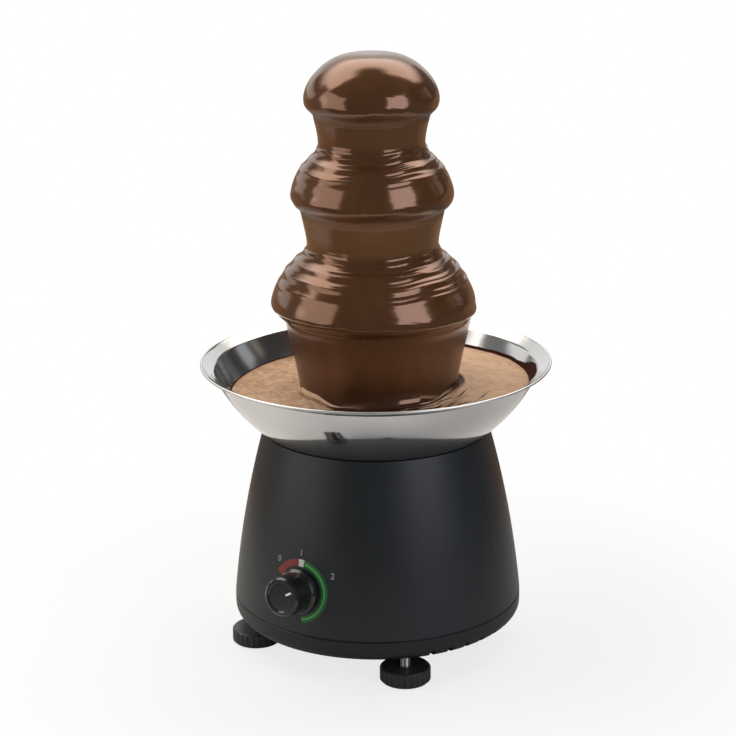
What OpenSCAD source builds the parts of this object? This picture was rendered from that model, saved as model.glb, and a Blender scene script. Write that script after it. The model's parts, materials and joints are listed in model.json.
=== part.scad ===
// Table-top fountain for warm chocolate: a steel bowl on a moulded housing, with a pumped tower of three tiers.
// Millimetres, +Z up, table at z = 0, the control knob faces -Y.

/* [Bowl] */
// Diameter over the rolled edge of the bowl
bowl_d = 210; // [200:1:220]
// Height of the bowl's edge over the table
rim_z = 175; // [172:1:182]
// Sheet thickness of the bowl
bowl_t = 1; // [0.8:0.1:1.4]
// Width of the flared lip
lip_w = 7.5; // [5:0.5:9]
// Rise of the flared lip
lip_rise = 4.5; // [4:0.5:7]
// Height of the bowl's flat underside
bowl_floor_z = 124; // [122:0.5:126]
// Radius of the flat part of the bowl's floor
bowl_floor_r = 52; // [50:0.5:54]
// Radius of the bend between floor and wall
bowl_bend_r = 9; // [7:0.5:11]
// Slope of the wall where it leaves the housing, in degrees
wall_lean = 36; // [33:1:40]
// Radius where the wall's straight foot turns into its belly
foot_r = 66; // [64:0.5:67]
// Height of the pool's surface
pool_z = 158.5; // [152:0.5:162]

/* [Housing] */
// Diameter of the housing at the seam
housing_d = 175.2; // [172:0.2:180]
// Diameter of the housing's mouth
mouth_d = 136.4; // [134:0.2:139]
// Height of the seam between housing and tray
seam_z = 29; // [27:0.5:32]
// How far the housing's side bows out
housing_bow = 2.3; // [1:0.1:3.5]
// Wall thickness of the housing and tray
wall = 2.6; // [2:0.1:3]
// Height of the tray's underside
tray_z = 16.5; // [15:0.5:18.5]
// Radius of the tray's lower edge
tray_edge_r = 6; // [4:0.5:8]
// Number of air slots on each side
slots = 10; // [4:1:12]

/* [Feet] */
// Diameter of a foot
foot_d = 30; // [24:0.5:34]
// Height of a foot
foot_h = 9; // [7:0.5:10]
// Diameter of a foot's stud
stud_d = 6; // [5:0.5:8]
// Distance from the housing's side at the seam to a foot's axis
foot_inset = 11.6; // [9.6:0.2:15.6]

/* [Tower] */
// Outer diameter of the tower tube
tube_d = 42; // [40:0.5:44]
// Sheet thickness of the tube and tiers
sheet = 1.2; // [0.8:0.1:1.5]
// Diameter of the lower tier
lower_d = 116.8; // [108:0.2:124]
// Height of the lower tier's edge
lower_z = 211.5; // [206:0.5:214]
// Diameter of the upper tier
upper_d = 91; // [84:0.5:98]
// Height of the upper tier's edge
upper_z = 276; // [272:0.5:279]
// Diameter of the crown
crown_d = 74; // [68:0.5:80]
// Height of the crown's edge
crown_z = 331; // [329:0.5:335]
// Height of the top of the chocolate
top_z = 358; // [355:0.5:364]
// Thickness of the chocolate over a tier's edge
coat = 2.3; // [1.6:0.1:3]
// Thickness of a falling curtain
curtain_t = 2.2; // [1.6:0.1:3]

/* [Auger] */
// Pitch of the screw
pitch = 30; // [24:1:36]
// Thickness of the screw's flight
flight_t = 2.6; // [2:0.1:4]
// Diameter of the screw's core
core_d = 14; // [13:0.5:16]

/* [Drive] */
// Module of the gear teeth
tooth_module = 0.8; // [0.75:0.01:0.85]
// Teeth of a small gear
small_teeth = 12; // [11:1:13]
// Teeth of a large gear
large_teeth = 36; // [34:2:38]
// Diameter of the motor's can
motor_d = 60; // [56:0.5:64]
// Height of the motor's underside
motor_z = 36; // [34:0.5:38]
// Diameter of the output shaft
shaft_d = 8; // [7:0.5:9]
// Tube diameter of the heating element
element_d = 6.5; // [5:0.5:8]

/* [Control] */
// Height of the knob's axis where it meets the housing
knob_z = 55; // [53:0.5:60]
// Diameter of the knob's face
knob_d = 23; // [20:0.5:25]
// Diameter of the knob's skirt
skirt_d = 27; // [25:0.5:29]
// Distance from the housing to the knob's face
knob_l = 18.4; // [16:0.2:18.8]
// Inner diameter of the cord gland
gland_bore = 7; // [6:0.5:8]

/* [Fits] */
// Gap between pieces that are put together by hand
slip = 0.3; // [0.2:0.05:0.4]
// Radial gap of a shaft that turns in its bearing
run = 0.05; // [0.03:0.01:0.08]
// Play between meshing teeth
tooth_gap = 0.3; // [0.2:0.05:0.4]

/* [Hidden] */
$fn = 96;

foot_angles = [-135, -45, 90];
tray_screw_angles = [22, 158, -90];
bracket_angles = [30, 150, 270];
standoff_angles = [90, 210, 330];
bowl_r = bowl_d / 2;
hem_r = 1.1;
hub_r = 12;
tube_r = tube_d / 2;
tube_bore_r = tube_r - sheet;
collar_r = tube_r + slip / 2 + sheet;
floor_in_z = bowl_floor_z + bowl_t;
stud_r = stud_d / 2;
insert_r = stud_r + 1.6;
shaft_r = shaft_d / 2;
screw_r = 1.75;
foot_circle_r = housing_d / 2 - foot_inset;
// Height of the floor of a foot's socket, and of the stud's end
socket_z = 3;
stud_top = seam_z + 1.8;
// Bosses of the tray's screws, and the rim of the tray that stands inside the housing
boss_inset = 19.6;
boss_h = 8;
tray_boss_r = housing_d / 2 - boss_inset;
spigot_gap = 0.6;
spigot_t = 2;
spigot_h = 4;
seam_chamfer = 0.5;

// Switch behind the knob
switch_r = 14;
switch_l = 21;
switch_shaft_r = 3;
switch_shaft_in = 14;
switch_bush_r = 4.6;
switch_bush_out = 3.4;
switch_nut_r = 7.5;
switch_nut_h = 2.6;
// Reach of a cut through the housing's wall, to either side of its surface
wall_cut = 8;
tag_l = 6;
tag_w = 24;
// Mark on the knob's face, from a distance off its axis
pointer_l = 4;
pointer_r = knob_d / 2 - 4 - pointer_l;

// Levels of the drive, from the motor up to the bowl
motor_h = 34;
plate_z = motor_z + motor_h;
plate_t = 2;
gear_z = plate_z + plate_t;
case_h = 25;
axle_r = 2;
rotor_r = 13;
pole_gap = 1;
pole_t = 2;
pole_r = rotor_r + pole_gap + pole_t;
can_t = 1.5;
can_hub_r = 6;
can_hub_h = 5;
// Levels of the lower and the upper pair of gears
gear_gap = 1;
face_w = 7;
pair_gap = 2.5;
low_z = gear_z + gear_gap;
low_top = low_z + face_w;
high_z = low_top + pair_gap;
high_top = high_z + face_w;
vent_circle = 40;
vent_r = 6;
bracket_z = gear_z + case_h;
bracket_t = 2;
bracket_r = 64;
boss_r = 58.5;
standoff_r = 3.5;
standoff_circle = bowl_floor_r - standoff_r - 0.2;
heater_t = 3;
heater_r = standoff_circle - standoff_r - 0.5;
nut_flat = 30;
hub_nut_h = 6;
heater_hole_r = nut_flat / 2 / cos(30) + 1.5;
hub_drop = 11;
seal_drop = 7;
locator_h = 5;
bracket_screw_l = 11;
standoff_screw_l = 9;

function unit(v) = v / norm(v);
function left_of(v) = [-v[1], v[0]];
function back(p) = [for (i = [len(p) - 1:-1:0]) p[i]];
function tail(p) = [for (i = [1:len(p) - 1]) p[i]];

// Mitred normal on the left-hand side of a path
function mitre(p, i) =
    let (a = unit(p[max(i, 1)] - p[max(i, 1) - 1]),
        b = i < len(p) - 1 ? unit(p[i + 1] - p[i]) : a,
        n = unit(left_of(a) + left_of(b)))
    n / (n * left_of(b));

// A path moved to its left, and the strip between the two
function inset(p, t) = [for (i = [0:len(p) - 1]) p[i] + t * mitre(p, i)];
function strip(p, t) = concat(p, back(inset(p, t)));

// Arc from p to q that leaves p at the angle a0
function arc_from(p, q, a0, n) =
    let (d = q - p, k = atan2(d[1], d[0]) - a0, r = norm(d) / (2 * sin(k)))
    [for (i = [0:n]) let (a = a0 + 2 * k * i / n) p + r * [sin(a) - sin(a0), cos(a0) - cos(a)]];

// Half the turn of an arc from p to q that bows out by b
function bow_turn(p, q, b) = 2 * atan(2 * b / norm(q - p));
function bowed(p, q, b, n) =
    arc_from(p, q, atan2(q[1] - p[1], q[0] - p[0]) - bow_turn(p, q, b), n);

// Quarter ellipse from the top of a dome out to its edge, flattened near the top
function dome(r0, a, z0, b, t0, n, flat = 0) =
    [for (i = [0:n]) let (t = t0 + (90 - t0) * i / n) [r0 + a * sin(t) * (1 + flat * pow(cos(t), 8)), z0 + b * cos(t)]];

// Outside of the bowl, from the hub outwards
function bend_at(a) = [bowl_floor_r + bowl_bend_r * sin(a), bowl_floor_z + bowl_bend_r * (1 - cos(a))];
bend_end = bend_at(wall_lean);
wall_start = [foot_r, bend_end[1] + (foot_r - bend_end[0]) * tan(wall_lean)];
lip_start = [bowl_r - lip_w, rim_z - lip_rise];
bowl_path = concat(
    [[hub_r + 0.1, bowl_floor_z]],
    [for (i = [0:6]) bend_at(wall_lean * i / 6)],
    arc_from(wall_start, lip_start, wall_lean, 16),
    [[bowl_r - hem_r, rim_z - hem_r - bowl_t / 2]]);

belly_turn = atan2(lip_start[1] - wall_start[1], lip_start[0] - wall_start[0]) - wall_lean;
belly_r = norm(lip_start - wall_start) / (2 * sin(belly_turn));
belly_c = wall_start + belly_r * [-sin(wall_lean), cos(wall_lean)];
function belly_z(r) = belly_c[1] - sqrt(pow(belly_r, 2) - pow(r - belly_c[0], 2));

// Outside of the housing, from the seam upwards, ending under the bowl's wall
mouth_r = mouth_d / 2;
mouth_gap = 0.5;
mouth_z = belly_z(mouth_r) - mouth_gap;
seam_p = [housing_d / 2, seam_z + slip];
mouth_p = [mouth_r, mouth_z];
housing_path = bowed(seam_p, mouth_p, housing_bow, 20);
housing_turn = bow_turn(seam_p, mouth_p, housing_bow);
housing_a0 = atan2(mouth_p[1] - seam_p[1], mouth_p[0] - seam_p[0]) - housing_turn;
housing_arc_r = norm(mouth_p - seam_p) / (2 * sin(housing_turn));
housing_c = seam_p + housing_arc_r * [-sin(housing_a0), cos(housing_a0)];
function housing_r(z) = housing_c[0] + sqrt(pow(housing_arc_r, 2) - pow(z - housing_c[1], 2));

// The knob's axis stands square to the housing's side
knob_r = housing_r(knob_z);
knob_tilt = asin((knob_z - housing_c[1]) / housing_arc_r);
gland_z = 52;
gland_r = housing_r(gland_z);
gland_tilt = asin((gland_z - housing_c[1]) / housing_arc_r);
// Flat boss that the gland and its nut clamp, deep enough to cover the wall's slope and curve
gland_boss_r = gland_bore / 2 + 6;
gland_seat = gland_boss_r * tan(gland_tilt) + 0.2;
gland_back = wall / cos(gland_tilt) + gland_boss_r * tan(gland_tilt)
    + pow(gland_boss_r, 2) / 2 / (gland_r - wall) + 0.1;
gland_nut_h = 4;
gland_t = 2;
gland_fit = 0.2;
gland_in = 12;
gland_out = 9;

tray_path = concat(
    [[0, tray_z]],
    [for (a = [0:15:90]) [housing_d / 2 - tray_edge_r * (1 - sin(a)), tray_z + tray_edge_r * (1 - cos(a))]],
    [[housing_d / 2, seam_z]]);

module at(r, a, z = 0) {
    rotate([0, 0, a])
    translate([r, 0, z])
    children();
}

module ring(ro, ri, z0, z1) {
    rotate_extrude()
    translate([ri, z0])
    square([ro - ri, z1 - z0]);
}

module rod(r, z0, z1) {
    translate([0, 0, z0])
    cylinder(h = z1 - z0, r = r);
}

module slice(points) {
    rotate_extrude()
    polygon(points);
}

// Screw with its head above z = 0 and a cross in the head
module screw(r, l) {
    difference() {
        union() {
            rod(r * 1.9, 0, r * 1.3);
            rod(r, -l, 0.1);
        }
        translate([-r * 1.1, -0.35, r * 0.7])
        cube([r * 2.2, 0.7, r]);
        translate([-0.35, -r * 1.1, r * 0.7])
        cube([0.7, r * 2.2, r]);
    }
}

// Frame of the knob: local +Z points out of the housing
module on_knob_axis() {
    translate([0, -knob_r, knob_z])
    rotate([90 - knob_tilt, 0, 0])
    children();
}

module on_gland_axis() {
    translate([0, gland_r, gland_z])
    rotate([-90, 0, 0])
    children();
}

// Screw bosses, each with a rib out to the wall that starts at the height rib_z
module boss_set(angles, r, z0, z1, br, rib_z) {
    for (a = angles) {
        at(r, a)
        rod(br, z0, z1);
        at(r, a)
        translate([0, -1.5, rib_z])
        cube([30, 3, z1 - rib_z]);
    }
}

module housing() {
    color([0.1, 0.1, 0.11])
    difference() {
        union() {
            slice(concat(housing_path, [[mouth_r - wall, mouth_z - wall]], back(inset(housing_path, wall))));
            intersection() {
                union() {
                    boss_set(bracket_angles, boss_r, bracket_z - 15, bracket_z, 5, bracket_z - 15);
                    boss_set(tray_screw_angles, tray_boss_r, seam_z + 1, seam_z + boss_h, 5, seam_z + spigot_h + slip);
                }
                slice(concat([[0, seam_z + slip]], inset(housing_path, wall / 2), [[0, mouth_z]]));
            }
            on_gland_axis()
            rod(gland_boss_r, -gland_back, gland_seat);
        }
        for (a = bracket_angles)
            at(boss_r, a)
            rod(screw_r + run, bracket_z - 11, bracket_z + 1);
        for (a = tray_screw_angles)
            at(tray_boss_r, a)
            rod(screw_r + run, seam_z, seam_z + boss_h - 1);
        slice([[housing_d / 2 - seam_chamfer, seam_z], [housing_d / 2 + 1, seam_z],
            [housing_d / 2 + 1, seam_z + slip + seam_chamfer + 1], [housing_d / 2 - seam_chamfer, seam_z + slip]]);
        on_knob_axis()
        rod(switch_bush_r + slip, -wall_cut, wall_cut);
        on_gland_axis()
        rod(gland_bore / 2 + gland_t + gland_fit, -gland_in, wall_cut);
    }
}

module base_tray() {
    color([0.09, 0.09, 0.1])
    difference() {
        union() {
            slice(strip(tray_path, wall));
            ring(housing_d / 2 - wall - spigot_gap, housing_d / 2 - wall - spigot_gap - spigot_t, tray_z + wall - 0.5, seam_z + spigot_h);
            for (a = foot_angles)
                at(foot_circle_r, a)
                rod(insert_r + 3, tray_z + 1, seam_z + 1);
            for (a = tray_screw_angles)
                at(tray_boss_r, a)
                rod(5, tray_z + 1, seam_z + 1);
        }
        for (a = foot_angles)
            at(foot_circle_r, a)
            rod(insert_r + 0.02, tray_z - 1, seam_z + 2);
        for (a = tray_screw_angles) {
            at(tray_boss_r, a)
            rod(screw_r + 0.25, tray_z - 1, seam_z + 2);
            at(tray_boss_r, a)
            rod(screw_r * 1.9 + 0.4, tray_z - 1, tray_z + 4);
        }
        slice([[housing_d / 2 - seam_chamfer, seam_z], [housing_d / 2 + 1, seam_z - seam_chamfer - 1],
            [housing_d / 2 + 1, seam_z + 1], [housing_d / 2 - seam_chamfer, seam_z + 1]]);
        for (s = [0, 180])
            for (i = [0:slots - 1])
                rotate([0, 0, s + (i - (slots - 1) / 2) * 7.9])
                translate([housing_d / 2 - tray_edge_r - 1, -1.6, tray_z - 1])
                cube([tray_edge_r + 3, 3.2, wall + 2.6]);
        for (i = [0:7])
            rotate([0, 0, i * 45 + 22.5])
            translate([30, -1.5, tray_z - 1])
            cube([18, 3, wall + 2]);
    }
}

module tray_screws() {
    color([0.6, 0.6, 0.62])
    for (a = tray_screw_angles)
        at(tray_boss_r, a, tray_z + 4)
        rotate([180, 0, 0])
        screw(screw_r, seam_z + 6 - tray_z - 4);
}

module foot_inserts() {
    color([0.75, 0.6, 0.3])
    for (a = foot_angles)
        at(foot_circle_r, a)
        ring(insert_r, stud_r + run, tray_z, seam_z + 1);
}

module stud(a) {
    color([0.7, 0.7, 0.72])
    at(foot_circle_r, a)
    rotate_extrude()
    polygon([[0, socket_z], [stud_r, socket_z], [stud_r, stud_top - 0.8], [stud_r - 0.8, stud_top], [0, stud_top]]);
}

module pad(a) {
    color([0.07, 0.07, 0.07])
    at(foot_circle_r, a)
    difference() {
        rotate_extrude()
        polygon([[0, 0], [foot_d / 2 - 1.2, 0], [foot_d / 2, 1.2], [foot_d / 2, foot_h - 1],
            [foot_d / 2 - 1, foot_h], [stud_r + run, foot_h], [stud_r + run, socket_z], [0, socket_z]]);
        for (i = [0:23])
            rotate([0, 0, i * 15])
            translate([foot_d / 2 + 0.45, 0, 1.6])
            cylinder(h = foot_h, r = 1);
    }
}

module left_stud() {
    stud(foot_angles[0]);
}

module left_pad() {
    pad(foot_angles[0]);
}

module right_stud() {
    stud(foot_angles[1]);
}

module right_pad() {
    pad(foot_angles[1]);
}

module rear_stud() {
    stud(foot_angles[2]);
}

module rear_pad() {
    pad(foot_angles[2]);
}

// The cord itself is not part of the object
module cord_gland() {
    color([0.06, 0.06, 0.06])
    on_gland_axis()
    rotate_extrude()
    polygon([[gland_bore / 2, -gland_in], [gland_bore / 2 + gland_t, -gland_in], [gland_bore / 2 + gland_t, gland_seat],
        [gland_bore / 2 + 4.5, gland_seat], [gland_bore / 2 + 4.5, gland_seat + 1.8],
        [gland_bore / 2 + 2.4, gland_seat + 2.6], [gland_bore / 2 + 1.6, gland_out], [gland_bore / 2, gland_out]]);
}

module gland_nut() {
    color([0.15, 0.15, 0.15])
    on_gland_axis()
    translate([0, 0, -gland_back - gland_nut_h])
    difference() {
        cylinder(h = gland_nut_h, r = gland_boss_r, $fn = 6);
        rod(gland_bore / 2 + gland_t + run, -1, gland_nut_h + 1);
    }
}

module knob() {
    color([0.05, 0.05, 0.05])
    on_knob_axis()
    difference() {
        rotate_extrude()
        polygon([[3 + 0.02, 6.5], [9.6, 6.5], [9.6, 0.7], [skirt_d / 2, 0.7], [skirt_d / 2, 2.6],
            [skirt_d / 2 - 0.8, 3.4], [knob_d / 2 + 0.5, 4.2], [knob_d / 2, knob_l - 1.2],
            [knob_d / 2 - 1.2, knob_l], [knob_d / 2 - 2.4, knob_l], [knob_d / 2 - 3.2, knob_l - 0.7],
            [0, knob_l - 0.7], [0, knob_l - 4], [3.02, knob_l - 4]]);
        rotate([0, 0, 30])
        translate([pointer_r - 0.1, -0.7, knob_l - 1.2])
        cube([pointer_l + 0.2, 1.4, 2]);
    }
}

module knob_pointer() {
    color([0.9, 0.9, 0.9])
    on_knob_axis()
    rotate([0, 0, 30])
    translate([pointer_r, -0.6, knob_l - 1.2])
    cube([pointer_l, 1.2, 0.7]);
}

module switch_shaft() {
    color([0.75, 0.75, 0.76])
    on_knob_axis()
    rod(switch_shaft_r, -switch_shaft_in, knob_l - 4);
}

module switch_body() {
    color([0.2, 0.2, 0.22])
    on_knob_axis()
    difference() {
        union() {
            rod(switch_r, -wall - switch_l, -wall - 1.6);
            rod(switch_bush_r, -wall - 2, switch_bush_out);
            for (x = [-4, 3])
                translate([x, -tag_w / 2, -wall - switch_l - tag_l])
                cube([1, tag_w, tag_l + 1]);
        }
        rod(switch_shaft_r + run, -switch_shaft_in - slip, 5);
    }
}

module switch_nut() {
    color([0.7, 0.7, 0.72])
    on_knob_axis()
    translate([0, 0, 0.1])
    difference() {
        cylinder(h = switch_nut_h, r = switch_nut_r, $fn = 6);
        rod(switch_bush_r + run, -1, switch_nut_h + 1);
    }
}

module motor_can() {
    color([0.66, 0.67, 0.68])
    rotate_extrude()
    polygon([[axle_r + run, motor_z], [motor_d / 2 - 2, motor_z], [motor_d / 2, motor_z + 2],
        [motor_d / 2, plate_z], [motor_d / 2 - can_t, plate_z], [motor_d / 2 - can_t, motor_z + can_t],
        [can_hub_r, motor_z + can_t], [can_hub_r, motor_z + can_hub_h], [axle_r + run, motor_z + can_hub_h]]);
}

// Steel poles round the rotor, split by gaps
module pole_ring() {
    color([0.5, 0.5, 0.52])
    difference() {
        ring(pole_r, pole_r - pole_t, motor_z + can_t, plate_z - 3);
        for (i = [0:11])
            rotate([0, 0, i * 30])
            translate([rotor_r, -1, motor_z + 7])
            cube([pole_gap + pole_t + 1, 2, motor_h - 15]);
    }
}

module motor_coil() {
    color([0.72, 0.4, 0.2])
    rotate_extrude()
    polygon([[pole_r + 0.2, motor_z + can_t], [motor_d / 2 - can_t - slip, motor_z + can_t], [motor_d / 2 - can_t - slip, motor_z + 3.5],
        [motor_d / 2 - 3.4, motor_z + 3.5], [motor_d / 2 - 3.4, plate_z - 6], [motor_d / 2 - can_t - slip, plate_z - 6],
        [motor_d / 2 - can_t - slip, plate_z - 4], [pole_r + 0.2, plate_z - 4]]);
}

module rotor() {
    color([0.25, 0.25, 0.27])
    union() {
        rod(axle_r, motor_z + 0.5, low_top + 0.5);
        rod(rotor_r, motor_z + can_hub_h + 3, plate_z - 6);
    }
}

// Involute teeth on a stub form that the small gears can carry without undercut
press_angle = 25;
function polar(r, a) = r * [cos(a), sin(a)];
function involute(a) = tan(a) * 180 / PI - a;
function half_tooth(z, r) =
    let (rp = tooth_module * z / 2)
    90 / z - tooth_gap / 4 / rp * 180 / PI + involute(press_angle)
    - involute(acos(min(1, rp * cos(press_angle) / r)));
function tooth_radii(z) =
    let (rp = tooth_module * z / 2,
        r0 = max(rp * cos(press_angle), rp - 1.05 * tooth_module),
        r1 = rp + 0.8 * tooth_module)
    [for (k = [0:3]) r0 + (r1 - r0) * k / 3];
function tooth(z, c) =
    let (rs = tooth_radii(z), root = tooth_module * (z / 2 - 1.05), h0 = half_tooth(z, rs[0]))
    concat(
        root < rs[0] - 0.01 ? [polar(root, c - h0)] : [],
        [for (r = rs) polar(r, c - half_tooth(z, r))],
        [for (r = back(rs)) polar(r, c + half_tooth(z, r))],
        root < rs[0] - 0.01 ? [polar(root, c + h0)] : []);
gear_axis = tooth_module * (small_teeth + large_teeth) / 2;

module gear(z, turn, z0, z1) {
    translate([0, 0, z0])
    rotate([0, 0, turn])
    linear_extrude(height = z1 - z0)
    polygon([for (i = [0:z - 1]) each tooth(z, 360 * i / z)]);
}

// Turn that puts a gap of a gear at the angle a
function gap_at(z, a) = a + 180 / z;

module pinion() {
    color([0.8, 0.66, 0.35])
    difference() {
        gear(small_teeth, 0, low_z, low_top);
        rod(axle_r + 0.02, gear_z, low_top + 1);
    }
}

module idler_gear() {
    color([0.92, 0.92, 0.88])
    translate([gear_axis, 0, 0])
    difference() {
        union() {
            gear(large_teeth, gap_at(large_teeth, 180), low_z + 0.5, low_top - 0.5);
            gear(small_teeth, 180, low_top - 1, high_top + 1.5);
        }
        rod(axle_r + run, gear_z, high_top + 3);
    }
}

module idler_pin() {
    color([0.75, 0.75, 0.76])
    translate([gear_axis, 0, 0])
    rod(axle_r, plate_z, bracket_z - 1.5);
}

module output_gear() {
    color([0.8, 0.66, 0.35])
    difference() {
        union() {
            gear(large_teeth, gap_at(large_teeth, 0), high_z, high_top);
            rod(shaft_r + 3, high_top - 0.5, high_top + 3);
        }
        rod(shaft_r + 0.02, high_z - 0.5, high_top + 4);
    }
}

module output_shaft() {
    color([0.75, 0.75, 0.76])
    rod(shaft_r, high_z - 0.5, floor_in_z + 14);
}

module output_bush() {
    color([0.72, 0.52, 0.25])
    ring(shaft_r + 2.5, shaft_r + run, bracket_z - 4, bracket_z + bracket_t + 3);
}

case_r = tooth_module * (large_teeth / 2 + 0.8) + 1.5;
case_wall = 2.2;

module case_outline(r) {
    circle(r = r);
    translate([gear_axis, 0])
    circle(r = r);
    translate([0, -r])
    square([gear_axis, 2 * r]);
}

module gear_plate() {
    color([0.66, 0.67, 0.68])
    difference() {
        translate([0, 0, plate_z])
        linear_extrude(height = plate_t)
        union() {
            circle(r = motor_d / 2);
            case_outline(case_r + case_wall);
        }
        rod(axle_r + run, plate_z - 1, gear_z + 1);
        translate([gear_axis, 0, 0])
        rod(axle_r + 0.02, plate_z - 1, gear_z + 1);
    }
}

module gearbox_case() {
    color([0.6, 0.61, 0.62])
    difference() {
        translate([0, 0, gear_z])
        linear_extrude(height = case_h)
        case_outline(case_r + case_wall);
        translate([0, 0, gear_z - 1])
        linear_extrude(height = case_h - 3)
        case_outline(case_r);
        rod(shaft_r + 2.52, gear_z, bracket_z + 1);
        translate([gear_axis, 0, 0])
        rod(axle_r + 0.02, gear_z, bracket_z - 1.5);
        for (s = [-1, 1])
            translate([gear_axis, s * 10, 0])
            rod(1.55, bracket_z - 3.4, bracket_z + 1);
    }
}

module motor_bracket() {
    color([0.7, 0.71, 0.72])
    difference() {
        rod(bracket_r, bracket_z, bracket_z + bracket_t);
        rod(shaft_r + 3, bracket_z - 1, bracket_z + bracket_t + 1);
        for (a = bracket_angles)
            at(boss_r, a)
            rod(screw_r + 0.2, bracket_z - 1, bracket_z + bracket_t + 1);
        for (a = standoff_angles)
            at(standoff_circle, a)
            rod(screw_r + 0.2, bracket_z - 1, bracket_z + bracket_t + 1);
        for (s = [-1, 1])
            translate([gear_axis, s * 10, 0])
            rod(1.7, bracket_z - 1, bracket_z + bracket_t + 1);
        for (a = [0, 120, 240])
            at(vent_circle, a + 90)
            rod(vent_r, bracket_z - 1, bracket_z + bracket_t + 1);
    }
}

module bracket_screws() {
    color([0.6, 0.6, 0.62])
    for (a = bracket_angles)
        at(boss_r, a, bracket_z + bracket_t)
        screw(screw_r, bracket_screw_l);
}

module standoffs() {
    color([0.75, 0.76, 0.77])
    for (a = standoff_angles)
        at(standoff_circle, a)
        difference() {
            rod(standoff_r, bracket_z + bracket_t, bowl_floor_z);
            rod(screw_r + run, bracket_z, bracket_z + bracket_t + standoff_screw_l + 1);
        }
}

module standoff_screws() {
    color([0.6, 0.6, 0.62])
    for (a = standoff_angles)
        at(standoff_circle, a, bracket_z)
        rotate([180, 0, 0])
        screw(screw_r, bracket_t + standoff_screw_l);
}

module case_screws() {
    color([0.6, 0.6, 0.62])
    for (s = [-1, 1])
        translate([gear_axis, s * 10, bracket_z + bracket_t])
        screw(1.5, bracket_t + 3);
}

module heater_plate() {
    color([0.78, 0.79, 0.8])
    ring(heater_r, heater_hole_r, bowl_floor_z - heater_t, bowl_floor_z);
}

// Open ring with its two ends turned down
element_r = 36;
element_pin_l = 13;
element_z = bowl_floor_z - heater_t - element_d / 2 - 0.1;

module heating_element() {
    color([0.5, 0.5, 0.48])
    rotate([0, 0, 15])
    union() {
        rotate_extrude(angle = 330)
        translate([element_r, element_z])
        circle(r = element_d / 2);
        for (a = [0, 330])
            at(element_r, a)
            rod(element_d / 2 - 0.4, element_z - element_pin_l, element_z);
    }
}

module thermostat() {
    color([0.85, 0.84, 0.8])
    translate([-25.2, 0, 0])
    union() {
        rod(5.6, bowl_floor_z - heater_t - 7, bowl_floor_z - heater_t);
        for (s = [-1, 1])
            translate([-0.4, s * 3 - 1, bowl_floor_z - heater_t - 12])
            cube([0.8, 2, 6]);
    }
}

module thermal_fuse() {
    color([0.85, 0.8, 0.7])
    translate([0, 0, bowl_floor_z - heater_t - 2.1])
    rotate([0, 0, 60])
    translate([25.5, -6, 0])
    rotate([-90, 0, 0])
    cylinder(h = 12, r = 2);
}

module terminal_block() {
    color([0.9, 0.9, 0.86])
    translate([-15, 40, tray_z + wall])
    difference() {
        cube([30, 13, 12]);
        for (i = [0:2])
            translate([5 + i * 10, 3.5, 7])
            cylinder(h = 6, r = 2);
        for (i = [0:2])
            translate([5 + i * 10, 14, 4])
            rotate([90, 0, 0])
            cylinder(h = 10, r = 1.6);
    }
}

module bowl() {
    color([0.8, 0.8, 0.82])
    rotate_extrude()
    union() {
        polygon(strip(bowl_path, bowl_t));
        translate([bowl_r - hem_r, rim_z - hem_r])
        circle(r = hem_r);
    }
}

module bowl_hub() {
    color([0.7, 0.7, 0.72])
    rotate_extrude()
    polygon([[shaft_r + run, bowl_floor_z - hub_drop], [hub_r, bowl_floor_z - hub_drop], [hub_r, floor_in_z],
        [hub_r + 3.6, floor_in_z], [hub_r + 3.2, floor_in_z + 2], [shaft_r + 2.6, floor_in_z + 2],
        [shaft_r + 2.6, floor_in_z - seal_drop], [shaft_r + run, floor_in_z - seal_drop]]);
}

module hub_nut() {
    color([0.75, 0.6, 0.3])
    difference() {
        translate([0, 0, bowl_floor_z - hub_nut_h])
        cylinder(h = hub_nut_h, r = nut_flat / 2 / cos(30), $fn = 6);
        rod(hub_r + 0.02, bowl_floor_z - hub_nut_h - 1, bowl_floor_z + 1);
    }
}

module shaft_seal() {
    color([0.55, 0.2, 0.15])
    ring(shaft_r + 2.55, shaft_r + run, floor_in_z - seal_drop, floor_in_z + 1.2);
}

// Ring on the bowl's floor that the tower tube stands round
module tower_locator() {
    color([0.75, 0.75, 0.77])
    ring(tube_bore_r - slip, hub_r + 3.9, floor_in_z, floor_in_z + locator_h);
}

dog_flat = 9;

module drive_dog() {
    color([0.7, 0.7, 0.72])
    difference() {
        union() {
            rod(shaft_r + 2.4, floor_in_z + 2.4, floor_in_z + 4.4);
            translate([0, 0, floor_in_z + 4])
            cylinder(h = 12.5, r = (dog_flat + shaft_d - 8) / 2 / cos(30), $fn = 6);
        }
        rod(shaft_r + 0.02, floor_in_z, floor_in_z + 14.1);
    }
}

tube_top = crown_z + 13;
bead_h = 2;
arch_w = 11;

module tower_tube() {
    color([0.8, 0.8, 0.82])
    difference() {
        union() {
            ring(tube_r, tube_bore_r, floor_in_z, tube_top);
            ring(collar_r, tube_r - 0.3, lower_z - bead_h, lower_z);
            ring(collar_r, tube_r - 0.3, upper_z - bead_h, upper_z);
        }
        for (i = [0:3])
            rotate([0, 0, i * 90 + 45])
            union() {
                translate([tube_r - 8, -arch_w / 2, floor_in_z + 6])
                cube([16, arch_w, 9]);
                translate([tube_r - 8, 0, floor_in_z + 15])
                rotate([0, 90, 0])
                cylinder(h = 16, r = arch_w / 2);
            }
    }
}

// Skirt of a tier from its collar to its edge, and the collar that slides over the tube
tier_lip = 3;
function skirt(d, z, h) =
    concat(dome(collar_r - 0.4, d / 2 - collar_r + 0.4, z, h, 0, 14), [[d / 2, z - tier_lip]]);

module tier(d, z, h) {
    slice(strip(skirt(d, z, h), -sheet));
    ring(collar_r, collar_r - sheet, z, z + h - sheet / 2);
}

lower_h = 28.5;
upper_h = 23;
crown_h = 16;

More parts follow.
